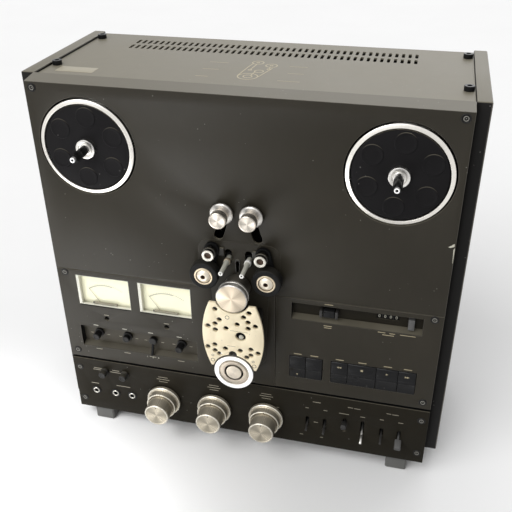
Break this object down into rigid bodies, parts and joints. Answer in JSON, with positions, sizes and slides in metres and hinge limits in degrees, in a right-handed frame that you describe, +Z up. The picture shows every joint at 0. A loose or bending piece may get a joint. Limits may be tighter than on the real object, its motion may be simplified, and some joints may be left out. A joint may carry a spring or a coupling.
{
  "type": "reel-to-reel tape deck",
  "caption": "Upright reel-to-reel tape deck with turning reel tables, capstan and rollers, swinging tension and pinch arms, twin level meters, push buttons, knobs and lever switches.",
  "frame": {"origin": "centre of the overall box's bottom, at the underside of the feet", "axes": "+X to the viewer's right when facing the front panel, +Y towards the rear panel, +Z up"},
  "size_m": [0.456, 0.258, 0.446],
  "materials": {
    "panel_paint": "satin warm dark grey",
    "case_paint": "fine satin dark grey",
    "side_paint": "satin black",
    "foot_rubber": "dull grey",
    "chassis_steel": "plated",
    "motor_metal": "cast",
    "reel_metal": "turned rim round a black mat",
    "lock_plastic": "splined",
    "arm_steel": "plated",
    "roller_chrome": "polished",
    "pinch_rubber": "smooth black",
    "pinch_paint": "satin black",
    "head_paint": "satin black",
    "cover_cream": "satin cream, bright bevel",
    "turned_aluminium": "turned",
    "dial_cream": "lit cream dial",
    "needle_black": "matt",
    "knob_champagne": "turned champagne",
    "button_black": "satin black",
    "knob_black": "ribbed black",
    "lever_grey": "grey",
    "lever_metal": "bare"
  },
  "bodies": {
    "deck": {"left_side_panel": "side_paint", "right_side_panel": "side_paint", "top_cover": "case_paint", "rear_panel": "case_paint", "bottom_plate": "foot_rubber", "deck_panel": "panel_paint", "meter_panel": "panel_paint", "control_panel": "panel_paint", "amplifier_panel": "panel_paint", "chassis_plate": "chassis_steel", "head_base": "head_paint", "head_cover": "cover_cream", "level_meters": "dial_cream", "jack_block": "chassis_steel", "left_reel_motor": "motor_metal", "right_reel_motor": "motor_metal", "capstan_motor": "motor_metal"},
    "left_reel_table": {"left_reel_table": "reel_metal"},
    "right_reel_table": {"right_reel_table": "reel_metal"},
    "left_reel_lock": {"left_reel_lock": "lock_plastic"},
    "right_reel_lock": {"right_reel_lock": "lock_plastic"},
    "left_tension_arm": {"left_tension_arm": "arm_steel"},
    "right_tension_arm": {"right_tension_arm": "arm_steel"},
    "left_tension_roller": {"left_tension_roller": "roller_chrome"},
    "right_tension_roller": {"right_tension_roller": "roller_chrome"},
    "left_pinch_arm": {"left_pinch_arm": "pinch_paint"},
    "right_pinch_arm": {"right_pinch_arm": "pinch_paint"},
    "left_pinch_roller": {"left_pinch_roller": "pinch_rubber"},
    "right_pinch_roller": {"right_pinch_roller": "pinch_rubber"},
    "capstan": {"capstan": "turned_aluminium"},
    "reverse_roller": {"reverse_roller": "turned_aluminium"},
    "tape_lifter": {"tape_lifter": "roller_chrome"},
    "record_button": {"record_button": "button_black"},
    "pause_button": {"pause_button": "button_black"},
    "rewind_button": {"rewind_button": "button_black"},
    "stop_button": {"stop_button": "button_black"},
    "play_button": {"play_button": "button_black"},
    "forward_button": {"forward_button": "button_black"},
    "counter_reset": {"counter_reset": "lever_grey"},
    "cue_lever": {"cue_lever": "button_black"},
    "bias_knob": {"bias_knob": "knob_black"},
    "equalizer_knob": {"equalizer_knob": "knob_black"},
    "speed_lever": {"speed_lever": "knob_black"},
    "pitch_knob": {"pitch_knob": "knob_black"},
    "left_selector_knob": {"left_selector_knob": "knob_black"},
    "right_selector_knob": {"right_selector_knob": "knob_black"},
    "mic_level_ring": {"mic_level_ring": "knob_champagne"},
    "mic_level_knob": {"mic_level_knob": "knob_champagne"},
    "line_level_ring": {"line_level_ring": "knob_champagne"},
    "line_level_knob": {"line_level_knob": "knob_champagne"},
    "output_level_ring": {"output_level_ring": "knob_champagne"},
    "output_level_knob": {"output_level_knob": "knob_champagne"},
    "lever_switch_1": {"lever_switch_1": "lever_metal"},
    "lever_switch_2": {"lever_switch_2": "lever_metal"},
    "lever_switch_3": {"lever_switch_3": "lever_grey"},
    "lever_switch_4": {"lever_switch_4": "lever_metal"},
    "lever_switch_5": {"lever_switch_5": "lever_metal"},
    "lever_switch_6": {"lever_switch_6": "lever_grey"},
    "left_meter_needle": {"left_meter_needle": "needle_black"},
    "right_meter_needle": {"right_meter_needle": "needle_black"}
  },
  "joints": [
    {"name": "left_reel_turn", "type": "hinge", "parent": "deck", "child": "left_reel_table", "pos_m": [-0.155, -0.0955, 0.3755], "axis": [0, 1, 0], "continuous": true},
    {"name": "right_reel_turn", "type": "hinge", "parent": "deck", "child": "right_reel_table", "pos_m": [0.155, -0.0955, 0.3755], "axis": [0, 1, 0], "continuous": true},
    {"name": "left_lock_turn", "type": "hinge", "parent": "left_reel_table", "child": "left_reel_lock", "pos_m": [-0.155, -0.1205, 0.3755], "axis": [0, 1, 0], "range_deg": [0, 60]},
    {"name": "right_lock_turn", "type": "hinge", "parent": "right_reel_table", "child": "right_reel_lock", "pos_m": [0.155, -0.1205, 0.3755], "axis": [0, 1, 0], "range_deg": [0, 60]},
    {"name": "left_tension_swing", "type": "hinge", "parent": "deck", "child": "left_tension_arm", "pos_m": [-0.0853, -0.0855, 0.3186], "axis": [0, 1, 0], "range_deg": [0, 19], "stiffness_Nm_per_rad": 0.15, "springref_deg": -34.38},
    {"name": "right_tension_swing", "type": "hinge", "parent": "deck", "child": "right_tension_arm", "pos_m": [0.0853, -0.0855, 0.3186], "axis": [0, -1, 0], "range_deg": [0, 19], "stiffness_Nm_per_rad": 0.15, "springref_deg": -34.38},
    {"name": "left_tension_roller_turn", "type": "hinge", "parent": "left_tension_arm", "child": "left_tension_roller", "pos_m": [-0.0153, -0.1065, 0.3186], "axis": [0, 1, 0], "continuous": true},
    {"name": "right_tension_roller_turn", "type": "hinge", "parent": "right_tension_arm", "child": "right_tension_roller", "pos_m": [0.0153, -0.1065, 0.3186], "axis": [0, 1, 0], "continuous": true},
    {"name": "left_pinch_swing", "type": "hinge", "parent": "deck", "child": "left_pinch_arm", "pos_m": [-0.0274, -0.0997, 0.2765], "axis": [0, -1, 0], "range_deg": [0, 15], "stiffness_Nm_per_rad": 0.05, "springref_deg": -20.05},
    {"name": "right_pinch_swing", "type": "hinge", "parent": "deck", "child": "right_pinch_arm", "pos_m": [0.0274, -0.0997, 0.2765], "axis": [0, 1, 0], "range_deg": [0, 15], "stiffness_Nm_per_rad": 0.05, "springref_deg": -20.05},
    {"name": "left_pinch_roller_turn", "type": "hinge", "parent": "left_pinch_arm", "child": "left_pinch_roller", "pos_m": [-0.0334, -0.108, 0.2505], "axis": [0, 1, 0], "continuous": true},
    {"name": "right_pinch_roller_turn", "type": "hinge", "parent": "right_pinch_arm", "child": "right_pinch_roller", "pos_m": [0.0334, -0.108, 0.2505], "axis": [0, 1, 0], "continuous": true},
    {"name": "capstan_turn", "type": "hinge", "parent": "deck", "child": "capstan", "pos_m": [0, -0.0955, 0.236], "axis": [0, 1, 0], "continuous": true},
    {"name": "reverse_roller_turn", "type": "hinge", "parent": "deck", "child": "reverse_roller", "pos_m": [0, -0.0955, 0.1385], "axis": [0, 1, 0], "continuous": true},
    {"name": "tape_lift", "type": "slide", "parent": "deck", "child": "tape_lifter", "axis": [0, 0, 1], "range_m": [0, 0.008], "stiffness_N_per_m": 60, "springref_m": -0.008},
    {"name": "record_press", "type": "slide", "parent": "deck", "child": "record_button", "axis": [0, 1, 0], "range_m": [0, 0.0025], "stiffness_N_per_m": 400},
    {"name": "pause_press", "type": "slide", "parent": "deck", "child": "pause_button", "axis": [0, 1, 0], "range_m": [0, 0.0025], "stiffness_N_per_m": 400},
    {"name": "rewind_press", "type": "slide", "parent": "deck", "child": "rewind_button", "axis": [0, 1, 0], "range_m": [0, 0.0025], "stiffness_N_per_m": 400},
    {"name": "stop_press", "type": "slide", "parent": "deck", "child": "stop_button", "axis": [0, 1, 0], "range_m": [0, 0.0025], "stiffness_N_per_m": 400},
    {"name": "play_press", "type": "slide", "parent": "deck", "child": "play_button", "axis": [0, 1, 0], "range_m": [0, 0.0025], "stiffness_N_per_m": 400},
    {"name": "forward_press", "type": "slide", "parent": "deck", "child": "forward_button", "axis": [0, 1, 0], "range_m": [0, 0.0025], "stiffness_N_per_m": 400},
    {"name": "counter_reset_press", "type": "slide", "parent": "deck", "child": "counter_reset", "axis": [0, 1, 0], "range_m": [0, 0.0025], "stiffness_N_per_m": 300},
    {"name": "cue_press", "type": "hinge", "parent": "deck", "child": "cue_lever", "pos_m": [0.09675, -0.0875, 0.2095], "axis": [1, 0, 0], "range_deg": [0, 20], "stiffness_Nm_per_rad": 0.01},
    {"name": "bias_turn", "type": "hinge", "parent": "deck", "child": "bias_knob", "pos_m": [-0.1759, -0.0875, 0.1365], "axis": [0, 1, 0], "range_deg": [-30, 30]},
    {"name": "equalizer_turn", "type": "hinge", "parent": "deck", "child": "equalizer_knob", "pos_m": [-0.1399, -0.0875, 0.1365], "axis": [0, 1, 0], "range_deg": [-30, 30]},
    {"name": "speed_turn", "type": "hinge", "parent": "deck", "child": "speed_lever", "pos_m": [-0.1077, -0.0875, 0.1365], "axis": [0, 1, 0], "range_deg": [-25, 25]},
    {"name": "pitch_turn", "type": "hinge", "parent": "deck", "child": "pitch_knob", "pos_m": [-0.0728, -0.0875, 0.1365], "axis": [0, 1, 0], "range_deg": [-135, 135]},
    {"name": "left_selector_turn", "type": "hinge", "parent": "deck", "child": "left_selector_knob", "pos_m": [-0.173, -0.0955, 0.0828], "axis": [0, 1, 0], "range_deg": [-30, 30]},
    {"name": "right_selector_turn", "type": "hinge", "parent": "deck", "child": "right_selector_knob", "pos_m": [-0.1467, -0.0955, 0.0828], "axis": [0, 1, 0], "range_deg": [-30, 30]},
    {"name": "mic_ring_turn", "type": "hinge", "parent": "deck", "child": "mic_level_ring", "pos_m": [-0.0979, -0.0955, 0.053], "axis": [0, 1, 0], "range_deg": [-150, 150]},
    {"name": "mic_knob_turn", "type": "hinge", "parent": "deck", "child": "mic_level_knob", "pos_m": [-0.0979, -0.0955, 0.053], "axis": [0, 1, 0], "range_deg": [-150, 150]},
    {"name": "line_ring_turn", "type": "hinge", "parent": "deck", "child": "line_level_ring", "pos_m": [-0.0342, -0.0955, 0.053], "axis": [0, 1, 0], "range_deg": [-150, 150]},
    {"name": "line_knob_turn", "type": "hinge", "parent": "deck", "child": "line_level_knob", "pos_m": [-0.0342, -0.0955, 0.053], "axis": [0, 1, 0], "range_deg": [-150, 150]},
    {"name": "output_ring_turn", "type": "hinge", "parent": "deck", "child": "output_level_ring", "pos_m": [0.0293, -0.0955, 0.053], "axis": [0, 1, 0], "range_deg": [-150, 150]},
    {"name": "output_knob_turn", "type": "hinge", "parent": "deck", "child": "output_level_knob", "pos_m": [0.0293, -0.0955, 0.053], "axis": [0, 1, 0], "range_deg": [-150, 150]},
    {"name": "lever_1_throw", "type": "hinge", "parent": "deck", "child": "lever_switch_1", "pos_m": [0.0784, -0.0785, 0.056], "axis": [-1, 0, 0], "range_deg": [0, 28]},
    {"name": "lever_2_throw", "type": "hinge", "parent": "deck", "child": "lever_switch_2", "pos_m": [0.0986, -0.0785, 0.056], "axis": [-1, 0, 0], "range_deg": [0, 28]},
    {"name": "lever_3_throw", "type": "hinge", "parent": "deck", "child": "lever_switch_3", "pos_m": [0.1215, -0.0785, 0.0585], "axis": [1, 0, 0], "range_deg": [0, 32]},
    {"name": "lever_4_throw", "type": "hinge", "parent": "deck", "child": "lever_switch_4", "pos_m": [0.142, -0.0785, 0.0585], "axis": [-1, 0, 0], "range_deg": [0, 44]},
    {"name": "lever_5_throw", "type": "hinge", "parent": "deck", "child": "lever_switch_5", "pos_m": [0.1638, -0.0785, 0.056], "axis": [-1, 0, 0], "range_deg": [0, 28]},
    {"name": "lever_6_throw", "type": "hinge", "parent": "deck", "child": "lever_switch_6", "pos_m": [0.1835, -0.0785, 0.056], "axis": [-1, 0, 0], "range_deg": [0, 28]},
    {"name": "left_needle_swing", "type": "hinge", "parent": "deck", "child": "left_meter_needle", "pos_m": [-0.1605, -0.0909, 0.1705], "axis": [0, 1, 0], "range_deg": [0, 74], "stiffness_Nm_per_rad": 0.0005, "springref_deg": -5.73},
    {"name": "right_needle_swing", "type": "hinge", "parent": "deck", "child": "right_meter_needle", "pos_m": [-0.087, -0.0909, 0.1705], "axis": [0, 1, 0], "range_deg": [0, 74], "stiffness_Nm_per_rad": 0.0005, "springref_deg": -5.73}
  ],
  "couplings": [
    {"joint": "right_pinch_swing", "follows": "left_pinch_swing", "ratio": 1}
  ]
}
